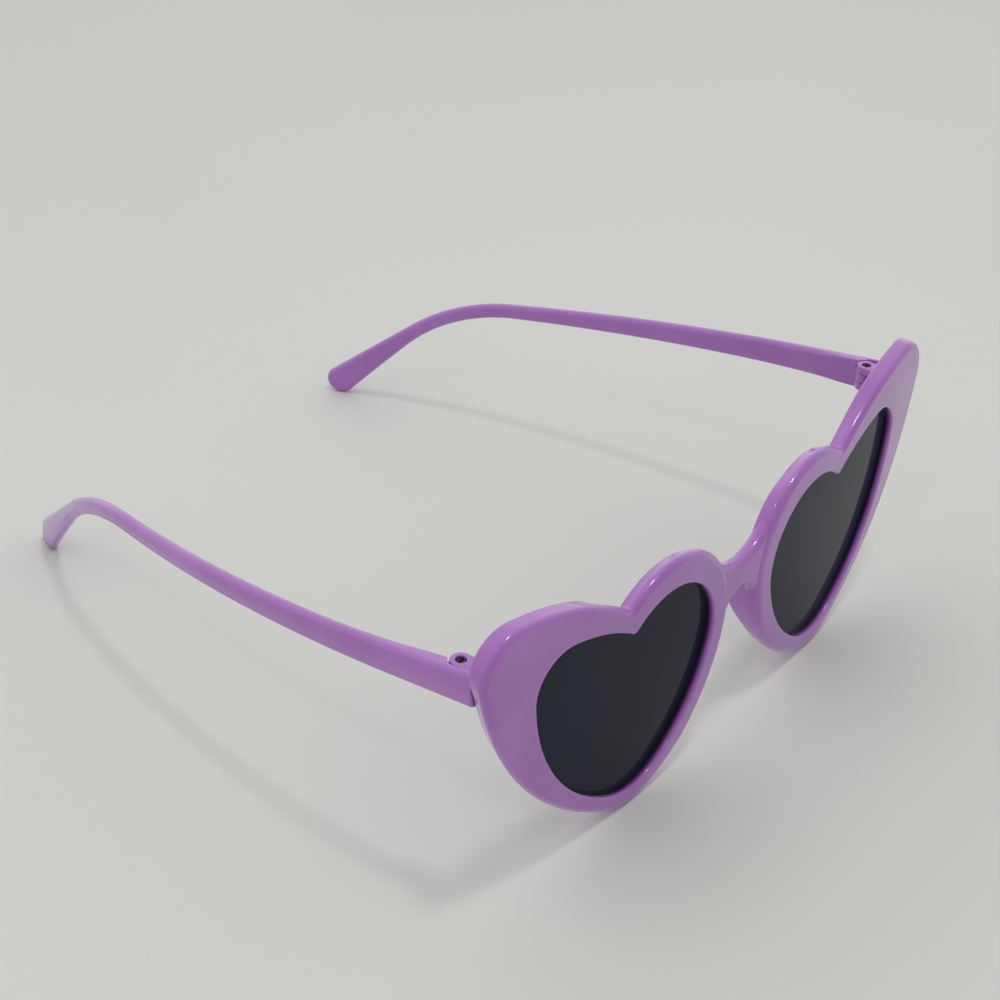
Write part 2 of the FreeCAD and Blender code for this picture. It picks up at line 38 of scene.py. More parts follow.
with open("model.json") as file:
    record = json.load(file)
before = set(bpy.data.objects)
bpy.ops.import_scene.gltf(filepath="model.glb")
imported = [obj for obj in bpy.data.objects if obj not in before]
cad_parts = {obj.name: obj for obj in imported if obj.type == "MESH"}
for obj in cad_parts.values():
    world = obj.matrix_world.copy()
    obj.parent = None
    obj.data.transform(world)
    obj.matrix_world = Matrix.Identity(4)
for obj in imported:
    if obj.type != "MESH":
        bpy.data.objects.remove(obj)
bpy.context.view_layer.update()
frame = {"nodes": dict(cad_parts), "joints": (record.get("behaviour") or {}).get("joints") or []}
HINGE = next(joint for joint in frame["joints"] if joint["name"] == "left_temple_hinge")

# Columns on each arc of a heart: lobe, nose side, point, temple side, corner, top edge, notch.
ARC_COLUMNS = (88, 40, 44, 60, 44, 52, 16)
LENS_COLUMNS = (44, 20, 22, 30, 22, 26, 12)
BRIDGE_COLUMNS, LUG_COLUMNS, FLOOR_COLUMNS = 65, 128, 31
# Rows of the rim's section and of a lens, points along the parts of a temple, and rows of other rounds.
FACE_ROWS, EDGE_ROWS, WALL_ROWS, REAR_EDGE_ROWS, REAR_ROWS = 14, 10, 2, 7, 16
LIP_ROWS, SEAT_ROWS, OPENING_ROWS, LENS_ROWS = 3, 6, 6, 26
SKIN_POINTS, HOLLOW_POINTS, CORNER_POINTS, FADE_POINTS = 14, 18, 9, 44
ARM_POINTS, BEND_POINTS, TAIL_POINTS, TIP_POINTS = 41, 40, 14, 22
TEMPLE_ROUND_ROWS, TEMPLE_FACE_ROWS, BRIDGE_ROUND_ROWS, BEVEL_ROWS = 9, 5, 8, 5
# Painted shade at the front of a lens seat; it is 1 at the seat's bottom, by the lens.
SEAT_FRONT_SHADE = 0.15
# A small turn that keeps every ray of a lug off the axes, where its reach would divide by zero.
OFF_AXIS = 1e-4
MILLIMETRE = 0.001
SIDES = (("left", 1.0), ("right", -1.0))
# The camera's film width in millimetres, and the distances between which it sees, in metres.
FILM_WIDTH, NEAR_CLIP, FAR_CLIP = 36.0, 0.01, 20.0
# Edges turned by more than SHARP stay sharp, and points closer than WELD become one.
SHARP = math.radians(35)
WELD = 2e-7


def length(name, description, millimetres):
    """A length that a user may change, kept in metres."""
    return FloatProperty(name=name, description=description, default=millimetres * MILLIMETRE,
                         unit="LENGTH", precision=5)


def lengths(name, description, *millimetres):
    """Two or three lengths that belong together, such as a circle's centre and radius."""
    return FloatVectorProperty(name=name, description=description, size=len(millimetres),
                               default=[value * MILLIMETRE for value in millimetres],
                               unit="LENGTH", precision=5)


def circle(name, *millimetres):
    """A circle in the plane of the front."""
    return lengths(name, "Centre from the middle, height and radius", *millimetres)


def power(name, description, watts):
    """The power of a light."""
    return FloatProperty(name=name, description=description, default=watts, unit="POWER")


def angle(name, description, degrees):
    """An angle that a user may change, kept in radians."""
    return FloatProperty(name=name, description=description, default=math.radians(degrees),
                         subtype="ANGLE", unit="ROTATION")


def colour(name, description, red, green, blue):
    """A surface colour in linear light."""
    return FloatVectorProperty(name=name, description=description, size=3, default=(red, green, blue),
                               min=0.0, max=1.0, subtype="COLOR")


class OpeningShape(bpy.types.PropertyGroup):
    """Heart of a lens opening: three given circles, the arcs that join them and the notch."""

    lobe: circle("Inner lobe", 25.3, 31.7, 14.8)
    nose_side: length("Nose side", "Radius of the side next to the nose", 33.6)
    point: circle("Point", 33.0, 19.6, 13.9)
    temple_side: length("Temple side", "Radius of the side next to the temple", 40.4)
    corner: circle("Outer lobe", 53.6, 41.2, 7.9)
    top: length("Top edge", "Radius of the edge from the outer lobe to the notch", 39.8)
    notch: lengths("Notch", "Distance from the middle and radius", 35.7, 1.3)


class RimShape(bpy.types.PropertyGroup):
    """Heart of the rim's outside, with its upswept outer corner."""

    lobe: circle("Inner lobe", 24.2, 33.2, 19.1)
    nose_side: length("Nose side", "Radius of the side next to the nose", 32.1)
    point: circle("Point", 33.3, 16.4, 14.3)
    temple_side: length("Temple side", "Radius of the side next to the temple", 64.5)
    corner: circle("Wing", 66.1, 50.8, 8.2)
    top: length("Top edge", "Radius of the edge from the wing to the valley", 55.4)
    notch: lengths("Valley", "Distance from the middle and radius", 36.5, 1.0)


class FrontSizes(bpy.types.PropertyGroup):
    """The moulded front: curved face, rounds, lens groove, bridge and nose pads."""

    face_radius: length("Face radius", "Plan radius of the curved front face", 620.0)
    rim_depth: length("Rim depth", "Front face to rear face of the rim", 3.9)
    edge_round: length("Edge round", "Round along the outer front edge", 1.3)
    rear_round: length("Rear round", "Round along the outer rear edge", 0.5)
    nose_round: length("Nose round", "What the outer front edge's round gains next to the nose", 0.6)
    draft: length("Draft", "Rear edge inside the front edge, but for the wing's top and the nose side", 1.0)
    draft_high: lengths("Draft heights", "Heights where the draft is full and where it ends", 46.0, 56.0)
    draft_wide: lengths("Draft widths", "Distances from the middle where it is full and ends", 38.0, 50.0)
    opening_round: length("Opening round", "Round along the front edge of an opening", 0.5)
    lip_round: length("Lip round", "Round along the rear edge of an opening", 0.2)
    groove: length("Groove", "Depth of the lens groove", 0.8)
    bridge_top: length("Bridge top", "Height of the bridge saddle", 40.3)
    bridge_low: length("Bridge arch", "Height of the arch under the bridge", 33.6)
    bridge_set: length("Bridge setback", "Bridge front behind the rims' front face", 0.5)
    bridge_round: length("Bridge round", "Round along the edges of the bridge", 1.55)
    pad: length("Nose pad", "Reach of the nose pad behind the rim", 3.4)
    pad_low: lengths("Nose pad foot", "Heights where the pad leaves the rim and is full", 14.0, 26.0)
    pad_high: lengths("Nose pad head", "Heights where the pad is full and ends", 33.0, 41.0)
    nose_wide: lengths("Nose side", "Distances from the middle where the nose side's forms are full and end",
                       10.0, 18.0)


class LensSizes(bpy.types.PropertyGroup):
    """The tinted lenses and their seat."""

    setback: length("Setback", "Lens front behind the front face", 1.7)
    thickness: length("Thickness", "Lens thickness", 1.6)
    reach: length("Reach", "Lens edge past the opening, in the groove", 0.7)
    face_gap: length("Face gap", "Gap from a lens face to the groove", 0.05)
    bevel: length("Bevel", "Ground bevel of the lens edge", 0.15)
    centre: lengths("Centre", "Middle of the lens from the middle of the front and its height", 34.5, 31.0)


class HingeSizes(bpy.types.PropertyGroup):
    """Hinge axis, knuckles and bores."""

    axis: lengths("Axis", "Hinge axis from the middle and behind the front face", 68.6, 14.0311)
    knuckle_r: length("Knuckle radius", "Radius of every hinge knuckle", 2.0)
    front_reach: length("Lug reach", "Hinge axis behind the root of the front's lugs", 8.3)
    lower: lengths("Lower lug", "Foot and top of the lower front lug", 44.3, 46.0)
    middle: lengths("Temple knuckle", "Foot and top of the temple's knuckle", 46.1, 48.1)
    upper: lengths("Upper lug", "Foot and top of the upper front lug", 48.2, 49.8)
    root_bore: length("Root bore", "Radius of the bore in the lower lug", 0.52)
    shank_bore: length("Shank bore", "Radius of the bore round the screw shank", 0.65)
    head_bore: length("Head bore", "Radius of the seat round the screw head", 1.0)
    head_seat: length("Head seat", "Height of the seat under the screw head", 48.7)
    bevel: length("Bevel", "Softened edge of lugs and knuckles", 0.2)
    web: lengths("Web", "Reach of the temple knuckle's web outwards, forwards and rearwards", 3.2, 1.0, 3.5)


class TempleSizes(bpy.types.PropertyGroup):
    """A temple: falling arm, bend over the ear, round paddle, and the block that meets the hinge."""

    outside: length("Outside", "Outer face from the middle, at the hinge", 72.65)
    thickness: length("Thickness", "Thickness of the arm", 2.5)
    skin: length("Skin", "Wall left outside the knuckles", 1.7)
    relief: length("Relief", "Radius of the hollow round the knuckles", 2.35)
    block: length("Hinge end", "Inner side of the arm at the hinge, outside the hinge axis", 0.9)
    block_round: length("Hinge end round", "Round of the arm's inner corner at the hinge", 0.4)
    block_run: length("Hinge end run", "Length over which the hinge end thins into the arm", 26.0)
    butt: length("Front end", "Front end behind the front face", 8.5484)
    middle: length("Middle height", "Height of the middle of the front end", 47.5)
    height: length("Height", "Height at the hinge", 6.8)
    edge_round: length("Edge round", "Round along the long edges", 1.1)
    round_run: length("Round run", "Length over which the inner edges reach their full round", 11.0)
    crown: length("Crown", "Swell of the outer side across its height", 0.5)
    end_round: length("End round", "Round of the front end and the cut edges", 0.25)
    straight: length("Straight", "Straight part in plan", 18.0)
    bow: length("Bow", "Radius of the inward bow in plan", 335.0)
    bend: lengths("Bend", "Centre behind the front face, its height and radius", 99.1237, -13.6752, 49.0)
    bend_height: length("Bend height", "Height of the temple at the bend", 3.5)
    paddle: lengths("Paddle", "Centre behind the front face, its height and radius", 149.5856, 6.3786, 3.4)


class FinishColours(bpy.types.PropertyGroup):
    """Colours of the finishes."""

    plastic: colour("Plastic", "Orchid purple of the mouldings", 0.42, 0.145, 0.56)
    plastic_deep: colour("Deep plastic", "Purple of thicker, darker areas", 0.375, 0.12, 0.51)
    # Painted shade: the near-black purple laid deep in each lens seat, where the recess falls in shade.
    painted_seat_shade: colour("Recess", "Colour deep in the lens seat", 0.025, 0.004, 0.04)
    smoke: colour("Smoke", "Lens tint", 0.006, 0.010, 0.022)
    steel: colour("Steel", "Hinge screws", 0.07, 0.07, 0.075)
    floor: colour("Floor", "Pale ground", 0.755, 0.76, 0.725)


class StageSettings(bpy.types.PropertyGroup):
    """Camera, lights and floor."""

    camera: lengths("Camera", "Camera in the upright frame of the glasses", -259.416, -140.241, 236.054)
    azimuth: angle("Azimuth", "Turn of the camera about the upright axis", -52.3666)
    elevation: angle("Elevation", "Downward look of the camera", 32.262)
    roll: angle("Roll", "Turn of the camera about its line of sight", 1.716)
    lens: FloatProperty(name="Lens", description="Focal length of the camera", default=66.643,
                        subtype="DISTANCE_CAMERA")
    key: power("Key light", "Power of the light overhead", 1.3)
    key_size: length("Key light size", "Side of the light overhead", 120.0)
    key_place: lengths("Key light place", "Place of the light overhead", 40.0, -200.0, 1000.0)
    lamp: power("Lamp", "Power of the small lamp to the left", 0.15)
    lamp_size: length("Lamp size", "Side of the small lamp", 50.0)
    lamp_place: lengths("Lamp place", "Place of the small lamp", -450.0, -170.0, 720.0)
    aim: lengths("Aim", "Point that the lights face", 0.0, -30.0, 30.0)
    sky: FloatProperty(name="Sky", description="Mean strength of the light all round", default=0.68)
    sky_span: FloatVectorProperty(name="Sky span", description="Its shares on the dim and the bright side",
                                  default=(0.65, 1.35), size=2)
    sky_way: FloatVectorProperty(name="Sky direction", description="Direction of the sky's bright side",
                                 default=(0.3, 0.95, 0.0), size=3, subtype="XYZ")
    floor_half: length("Floor", "Half the side of the floor", 1500.0)


def upright_to_ground():
    """The turn and shift that stand the upright glasses on the ground, read from the left hinge's axis.

    The axis is the upright direction after leaning back, and the middle of the temple knuckle lies on it.
    """
    hinge = bpy.context.scene.hearts_hinge
    sine, cosine = HINGE["axis"][1], HINGE["axis"][2]
    lean = np.array([[1, 0, 0], [0, cosine, sine], [0, -sine, cosine]])
    middle = np.array([hinge.axis[0], hinge.axis[1], sum(hinge.middle) / 2])
    return lean, np.array(HINGE["pos_m"]) - lean @ middle


def quads(rows, columns, row_ring=False, column_ring=False):
    """Faces of a grid of points stored row by row; a ring joins its last row or column to its first."""
    row = np.arange(rows if row_ring else rows - 1)[:, None]
    column = np.arange(columns if column_ring else columns - 1)[None, :]
    above, beside = (row + 1) % rows, (column + 1) % columns
    here, over = row * columns, above * columns
    corners = np.broadcast_arrays(here + column, here + beside, over + beside, over + column)
    return np.stack(corners, axis=-1).reshape(-1, 4)


class Shells:
    """Grids of points gathered into one mesh. Each grid is an array of rows, columns and coordinates."""

    def __init__(self):
        self.points, self.faces, self.shade, self.count = [], [], [], 0

    def add(self, grid, row_ring=False, column_ring=False, shade=None):
        """Add a grid; shade gives each row's painted shade, by its depth in the lens seat, from 0 to 1."""
        rows, columns = grid.shape[:2]
        self.points.append(grid.reshape(-1, 3))
        self.faces.append(quads(rows, columns, row_ring, column_ring) + self.count)
        depth = np.zeros(rows) if shade is None else shade
        self.shade.append(np.repeat(depth, columns))
        self.count += rows * columns

    def mirror(self):
        """Add the other side of everything gathered so far."""
        self.points += [part * (-1, 1, 1) for part in self.points]
        self.faces += [part + self.count for part in self.faces]
        self.shade *= 2
        self.count *= 2

    def piece(self, name, side=1.0):
        """The mesh object: stood on the ground, welded, facing outwards, smooth with sharp edges kept."""
        points, faces = np.concatenate(self.points), np.concatenate(self.faces)
        shade = np.concatenate(self.shade)
        lean, shift = upright_to_ground()
        placed = (points * (side, 1, 1)) @ lean.T + shift
        mesh = bpy.data.meshes.new(name)
        mesh.from_pydata(placed.tolist(), [], faces.tolist())
        # Each point's painted shade of the lens seat goes to the material as a point attribute.
        depth = mesh.attributes.new("painted_seat_shade", "FLOAT", "POINT")
        depth.data.foreach_set("value", shade.astype(np.float32))
        shape = bmesh.new()
        shape.from_mesh(mesh)
        bmesh.ops.remove_doubles(shape, verts=shape.verts, dist=WELD)
        bmesh.ops.dissolve_degenerate(shape, edges=shape.edges, dist=WELD)
        bmesh.ops.recalc_face_normals(shape, faces=shape.faces)
        shape.to_mesh(mesh)
        shape.free()
        mesh.shade_smooth()
        mesh.set_sharp_from_angle(angle=SHARP)
        item = bpy.data.objects.new(name, mesh)
        bpy.context.scene.collection.objects.link(item)
        return item


def crossing(centre_a, reach_a, centre_b, reach_b):
    """Point at both reaches, on the left of the way from a to b."""
    gap = np.linalg.norm(centre_b - centre_a)
    way = (centre_b - centre_a) / gap
    along = (reach_a ** 2 - reach_b ** 2 + gap ** 2) / (2 * gap)
    aside = math.sqrt(reach_a ** 2 - along ** 2)
    return centre_a + along * way + aside * np.array([-way[1], way[0]])


def arc(centre, start, end, columns, hollow=False):
    """Points and outward normals on an arc about the centre, from start's direction up to end's.

    A hollow arc runs clockwise, and its outward normal points to its centre.
    """
    first = math.atan2(start[1] - centre[1], start[0] - centre[0])
    last = math.atan2(end[1] - centre[1], end[0] - centre[0])
    sense = -1 if hollow else 1
    turn = sense * (last - first) % (2 * math.pi)
    angles = first + sense * turn * np.arange(columns) / columns
    way = np.stack([np.cos(angles), np.sin(angles)], axis=1)
    radius = np.linalg.norm(np.asarray(start) - centre)
    return centre + radius * way, sense * way


def heart_centres(shape):
    """Centres and radii of a heart's seven arcs.

    Lobe, point and corner are given circles. Each side and the top is an arc that holds its two
    neighbours from inside, and the notch round touches the lobe and the top from outside.
    """
    (c_lobe, r_lobe), (c_point, r_point), (c_corner, r_corner) = (
        (np.array(given[:2]), given[2]) for given in (shape.lobe, shape.point, shape.corner))
    x_notch, r_notch = shape.notch
    rise = math.sqrt((r_lobe + r_notch) ** 2 - (x_notch - c_lobe[0]) ** 2)
    c_notch = np.array([x_notch, c_lobe[1] + rise])
    c_nose = crossing(c_lobe, shape.nose_side - r_lobe, c_point, shape.nose_side - r_point)
    c_side = crossing(c_point, shape.temple_side - r_point, c_corner, shape.temple_side - r_corner)
    c_top = crossing(c_corner, shape.top - r_corner, c_notch, shape.top + r_notch)
    centres = (c_lobe, c_nose, c_point, c_side, c_corner, c_top, c_notch)
    radii = (r_lobe, shape.nose_side, r_point, shape.temple_side, r_corner, shape.top, r_notch)
    return centres, radii


def touch(centre, target, reach):
    """Point at a reach from the centre on the ray to the target."""
    return centre + reach * (target - centre) / np.linalg.norm(target - centre)


def heart(shape, columns):
    """Points and outward normals round a heart, arc by arc, in the plane of the front."""
    centres, radii = heart_centres(shape)
    lobe, nose, point, side, corner, top, notch = centres
    joints = (touch(lobe, notch, radii[0]), touch(nose, lobe, radii[1]), touch(nose, point, radii[1]),
              touch(side, point, radii[3]), touch(side, corner, radii[3]), touch(top, corner, radii[5]),
              touch(top, notch, radii[5]))
    spans = zip(centres, joints, joints[1:] + joints[:1], columns)
    arcs = [arc(centre, start, end, count, centre is notch) for centre, start, end, count in spans]
    return tuple(np.concatenate(part) for part in zip(*arcs))


def face_depth(x, setback):
    """Depth of a curved layer: the cylinder about the face's axis whose radius is less by the setback."""
    radius = bpy.context.scene.hearts_front.face_radius
    return radius - np.sqrt((radius - setback) ** 2 - x ** 2)


def on_layer(outline, setback):
    """Outline points of the front plane laid on a curved layer."""
    return np.stack([outline[:, 0], face_depth(outline[:, 0], setback), outline[:, 1]], axis=1)


def layer_normal(x, setback, forward=True):
    """Unit normal of a curved layer, forward or to the rear."""
    radius = bpy.context.scene.hearts_front.face_radius - setback
    way = np.stack([x / radius, -np.sqrt(radius ** 2 - x ** 2) / radius, np.zeros_like(x)], axis=1)
    return way if forward else -way


def in_front_plane(way):
    """Directions of the front plane as directions in space."""
    return np.stack([way[:, 0], np.zeros(len(way)), way[:, 1]], axis=1)


def fillet(edge, face, wall, radius, steps):
    """Rows of a round along an edge, from the face over to the wall.

    The rolling circle's centre is edge - r (face + wall) / (1 + face . wall), and its points turn
    evenly from the face's normal to the wall's.
    """
    share = np.linspace(0, 1, steps)[:, None, None]
    cosine = np.sum(face * wall, axis=-1, keepdims=True)
    whole = np.arccos(np.clip(cosine, -1, 1))
    way = (np.sin((1 - share) * whole) * face + np.sin(share * whole) * wall) / np.sin(whole)
    return edge - radius * (face + wall) / (1 + cosine) + radius * way


def between(first, last, rows):
    """Rows that divide the way from one row to another evenly, without the two ends."""
    share = np.linspace(0, 1, rows + 2)[1:-1, None, None]
    return first + share * (last - first)


def smooth_step(share):
    """3 s^2 - 2 s^3, which leaves 0 and reaches 1 without a kink."""
    share = np.clip(share, 0, 1)
    return share * share * (3 - 2 * share)


def nose_side(x, reach):
    """1 next to the nose, falling smoothly to 0 between two distances from the middle."""
    return 1 - smooth_step((x - reach[0]) / (reach[1] - reach[0]))


def nose_pad(outline):
    """Height of the nose pad over the rear face: it rises from its foot and fades at its head and side."""
    front = bpy.context.scene.hearts_front
    (foot, full), (head, end) = front.pad_low, front.pad_high
    rise = smooth_step((outline[:, 1] - foot) / (full - foot))
    fade = 1 - smooth_step((outline[:, 1] - head) / (end - head))
    return front.pad * rise * fade * nose_side(outline[:, 0], front.nose_wide)


def rim_shell(shells):
    """The left heart's rim, a section ring carried round the heart.

    Each column joins a point of the opening to its fellow on the outside. Rows run over the front
    face, round the outer edge, across the rear face with the nose pad, and back through the opening
    with its lens groove.
    """
    scene = bpy.context.scene
    front, lens = scene.hearts_front, scene.hearts_lens
    outer, out_way = heart(scene.hearts_rim, ARC_COLUMNS)
    inner, in_way = heart(scene.hearts_opening, ARC_COLUMNS)
    wall, hole = in_front_plane(out_way), in_front_plane(-in_way)
    depth = front.rim_depth

    def round_off(outline, setback, forward, side, radius, steps):
        normal = layer_normal(outline[:, 0], setback, forward)
        return fillet(on_layer(outline, setback), normal, side, radius, steps)

    beside_nose = nose_side(outer[:, :1], front.nose_wide)
    soft = front.edge_round + front.nose_round * beside_nose
    outer_front = round_off(outer, 0.0, True, wall, soft, EDGE_ROWS)
    wide = (front.draft_wide[1] - outer[:, :1]) / (front.draft_wide[1] - front.draft_wide[0])
    high = (front.draft_high[1] - outer[:, 1:]) / (front.draft_high[1] - front.draft_high[0])
    draft = front.draft * smooth_step(np.maximum(wide, high)) * (1 - beside_nose)
    drafted = outer - draft * out_way
    outer_rear = round_off(drafted, depth, False, wall, front.rear_round, REAR_EDGE_ROWS)[::-1]
    hole_front = round_off(inner, 0.0, True, hole, front.opening_round, OPENING_ROWS)[::-1]
    hole_rear = round_off(inner, depth, False, hole, front.lip_round, LIP_ROWS)
    face = between(hole_front[-1], outer_front[0], FACE_ROWS)
    face[..., 1] = face_depth(face[..., 0], 0.0)
    rear = between(outer_rear[-1], hole_rear[0], REAR_ROWS)
    rear[..., 1] = face_depth(rear[..., 0], depth)
    back = np.concatenate([outer_rear, rear, hole_rear])
    slope = 1 - smooth_step(np.linspace(0, 1, REAR_ROWS))
    lift = np.concatenate([np.ones(REAR_EDGE_ROWS), slope, np.zeros(LIP_ROWS)])
    back[..., 1] += lift[:, None] * nose_pad(outer)
    near, far = lens.setback - lens.face_gap, lens.setback + lens.thickness + lens.face_gap
    deep = inner + front.groove * in_way
    course = ((inner, far), (deep, far), (deep, near), (inner, near))
    groove = np.stack([on_layer(outline, setback) for outline, setback in course])
    seat = between(groove[-1], hole_front[0], SEAT_ROWS)
    side = between(outer_front[-1], back[0], WALL_ROWS)
    outside = np.concatenate([face, outer_front, side, back])
    inside = np.concatenate([groove, seat, hole_front])
    # Painted shade: the groove's rows are fully dark and the seat's rows fade to SEAT_FRONT_SHADE towards
    # the face, where the recess falls in shade.
    shade = np.zeros(len(outside) + len(inside))
    dark, light = len(outside) + len(groove), len(outside) + len(groove) + len(seat)
    shade[len(outside):dark] = 1.0
    shade[dark:light] = np.linspace(1.0, SEAT_FRONT_SHADE, SEAT_ROWS)
    shells.add(np.concatenate([outside, inside]), True, True, shade)


def bridge_shell(shells):
    """The bridge: a rounded bar between the hearts, set back behind their faces.

    Its top follows a circle about a point above the middle and its underside one about a point below,
    each touching the hearts. The ends run on into the rims.
    """
    scene = bpy.context.scene
    front = scene.hearts_front
    centres, radii = heart_centres(scene.hearts_rim)

    def edge(level, up, centre, radius):
        offset = up * (level - centre[1])
        bend = (centre[0] ** 2 + offset ** 2 - radius ** 2) / (2 * (radius - offset))
        pivot = np.array([0.0, level + up * bend])
        end = math.atan2(centre[0], up * (pivot[1] - centre[1]))
        turn = np.linspace(-end, end, BRIDGE_COLUMNS)
        way = np.stack([np.sin(turn), -up * np.cos(turn)], axis=1)
        return pivot + bend * way, -way

    top, above = edge(front.bridge_top, 1, centres[0], radii[0])
    low, below = edge(front.bridge_low, -1, centres[1], radii[1])
    rows = []
    for outline, way, flip in ((top, above, False), (low, below, True)):
        sides = []
        for setback, forward in ((front.bridge_set, True), (front.rim_depth, False)):
            normal = layer_normal(outline[:, 0], setback, forward)
            sides.append(fillet(on_layer(outline, setback), normal, in_front_plane(way), front.bridge_round,
                                BRIDGE_ROUND_ROWS))
        rows += [sides[1], sides[0][::-1]] if flip else [sides[0], sides[1][::-1]]
    ring = np.concatenate(rows)
    ends = ring[:, [0, -1]]
    sunk = (ends + ends.mean(axis=0, keepdims=True)) / 2
    sunk[..., 0] += np.array([-1.0, 1.0]) * front.bridge_round
    closed = np.repeat(sunk.mean(axis=0, keepdims=True), len(ring), axis=0)
    bar = np.concatenate([closed[:, :1], sunk[:, :1], ring, sunk[:, 1:], closed[:, 1:]], axis=1)
    shells.add(bar, row_ring=True)


def lug_shell(shells, block, heights, bore, seat=None):
    """A knuckle with its root: a bored ring about the hinge axis joined to a block.

    Seen from above its outline is max(knuckle radius, reach of the block) in every direction. Rows run
    up the outside, over the top, down the bore and back under the foot. A seat widens the bore's top.
    """
    hinge = bpy.context.scene.hearts_hinge
    turn = np.linspace(0, 2 * math.pi, LUG_COLUMNS, endpoint=False) + OFF_AXIS
    way = np.stack([np.cos(turn), np.sin(turn)], axis=1)
    low_x, high_x, low_y, high_y = block
    reach = np.minimum(np.where(way[:, 0] > 0, high_x, low_x) / way[:, 0],
                       np.where(way[:, 1] > 0, high_y, low_y) / way[:, 1])
    outside = np.maximum(hinge.knuckle_r, reach)
    foot, top = heights
    soft = hinge.bevel
    steps = np.linspace(0, math.pi / 2, BEVEL_ROWS)
    rings = [(outside - soft + soft * math.sin(a), foot + soft - soft * math.cos(a)) for a in steps]
    rings += [(outside - soft + soft * math.cos(a), top - soft + soft * math.sin(a)) for a in steps]
    mouth, floor = (bore, top) if seat is None else seat
    rings += [(mouth + soft / 2, top), (mouth, top - soft / 2)]
    rings += [] if seat is None else [(mouth, floor), (bore, floor)]
    rings += [(bore, foot + soft / 2), (bore + soft / 2, foot)]
    grid = np.empty((len(rings), len(turn), 3))
    for row, (radius, height) in zip(grid, rings):
        row[:, :2] = np.array(hinge.axis) + np.broadcast_to(radius, len(turn))[:, None] * way
        row[:, 2] = height
    shells.add(grid, True, True)


def temple_inside(temple, hinge):
    """Plan path of the temple's inner side round the hinge, from the front end rearwards.

    Along the skin, round the hollow about the hinge axis, round the arm's corner, whose small circle
    touches the hollow from outside, then a smooth fade to the arm's own thickness.
    """
    axis_x, axis_y = hinge.axis
    hollow, soft = temple.relief, temple.block_round
    skin_x, arm_x = temple.outside - temple.skin, temple.outside - temple.thickness
    corner = temple.block + soft
    corner_y = axis_y + math.sqrt((hollow + soft) ** 2 - corner ** 2)
    turn = math.atan2(corner_y - axis_y, corner)
    round_hollow = np.linspace(math.acos(min(1.0, (skin_x - axis_x) / hollow)), turn, HOLLOW_POINTS)
    round_corner = np.linspace(math.pi + turn, math.pi, CORNER_POINTS)[1:]
    skin_y = np.linspace(temple.butt, axis_y + hollow * math.sin(round_hollow[0]), SKIN_POINTS)[:-1]
    fade_y = np.linspace(corner_y, corner_y + temple.block_run, FADE_POINTS)[1:]
    fade = smooth_step((fade_y - corner_y) / temple.block_run)
    swell = arm_x - axis_x - temple.block
    corner_x = axis_x + corner
    return np.concatenate([
        np.column_stack([np.full(len(skin_y), skin_x), skin_y]),
        np.column_stack([axis_x + hollow * np.cos(round_hollow), axis_y + hollow * np.sin(round_hollow)]),
        np.column_stack([corner_x + soft * np.cos(round_corner), corner_y + soft * np.sin(round_corner)]),
        np.column_stack([arm_plan(temple, fade_y, True)[0] - (1 - fade) * swell, fade_y]),
    ])


def plan_normal(path, inward):
    """Unit normals of a plan path that runs rearwards, to its inner or outer side."""
    way = np.gradient(path, axis=0)
    way /= np.linalg.norm(way, axis=1, keepdims=True)
    normal = np.stack([way[:, 1], -way[:, 0]], axis=1)
    return -normal if inward else normal


def edge_turns(temple, up):
    """Fall of the arm and of the tail along the upper (up 1) or lower (up -1) edge, and its bend radius.

    The arm's line leaves the front end and touches the bend, and the tail's line touches bend and paddle.
    """
    bend, paddle = np.array(temple.bend[:2]), np.array(temple.paddle[:2])
    radius = temple.bend[2] + up * temple.bend_height / 2
    ahead = np.array([temple.butt, temple.middle + up * temple.height / 2]) - bend
    behind = paddle - bend
    fall = math.pi - math.asin(radius / np.linalg.norm(ahead)) - math.atan2(ahead[1], ahead[0])
    rest = (radius - up * temple.paddle[2]) / np.linalg.norm(behind)
    return fall, math.asin(rest) - math.atan2(behind[1], behind[0]), radius


def raised(turns):
    """Upward side view normal of a line that falls by each angle."""
    return np.stack([np.sin(turns), np.cos(turns)], axis=1)


def side_edge(temple, up, start):
    """Side view of one edge from a start behind the hinge to the tip: points and outward normals.

    A straight arm, the bend's arc, a straight tail, and the paddle's arc as far as the tip, where the
    upper and lower edge meet.
    """
    bend, paddle = np.array(temple.bend[:2]), np.array(temple.paddle[:2])
    fall, tail, radius = edge_turns(temple, up)
    tip = (edge_turns(temple, 1)[1] + edge_turns(temple, -1)[1] + math.pi) / 2
    arm_share = np.linspace(0, 1, ARM_POINTS)[1:, None]
    tail_share = np.linspace(0, 1, TAIL_POINTS)[1:, None]
    bend_turns = np.linspace(fall, tail, BEND_POINTS)[1:]
    first = tail if up > 0 else tail + math.pi
    end_turns = np.linspace(first, tip, TIP_POINTS)[1:]
    arm_normal, tail_normal = raised(np.array([fall])), raised(np.array([tail]))
    drop = math.tan(fall)
    origin = np.array([[start, temple.middle + up * temple.height / 2 - drop * (start - temple.butt)]])
    arm_end, tail_start = bend + radius * arm_normal, bend + radius * tail_normal
    tail_end = paddle + up * temple.paddle[2] * tail_normal
    points = np.concatenate([origin + arm_share * (arm_end - origin), bend + radius * raised(bend_turns),
                             tail_start + tail_share * (tail_end - tail_start),
                             paddle + temple.paddle[2] * raised(end_turns)])
    normals = np.concatenate([np.repeat(up * arm_normal, len(arm_share), axis=0), up * raised(bend_turns),
                              np.repeat(up * tail_normal, len(tail_share), axis=0), raised(end_turns)])
    return points, normals


def arm_plan(temple, y, inner):
    """Plan distance from the middle and outward normal of an arm's side: straight, then a bowed circle."""
    radius = temple.bow - (temple.thickness if inner else 0.0)
    past = np.clip(y - temple.butt - temple.straight, 0, None)
    x = temple.outside - temple.bow + np.sqrt(radius ** 2 - past ** 2)
    way = np.stack([np.sqrt(radius ** 2 - past ** 2), past], axis=-1) / radius
    return x, -way if inner else way


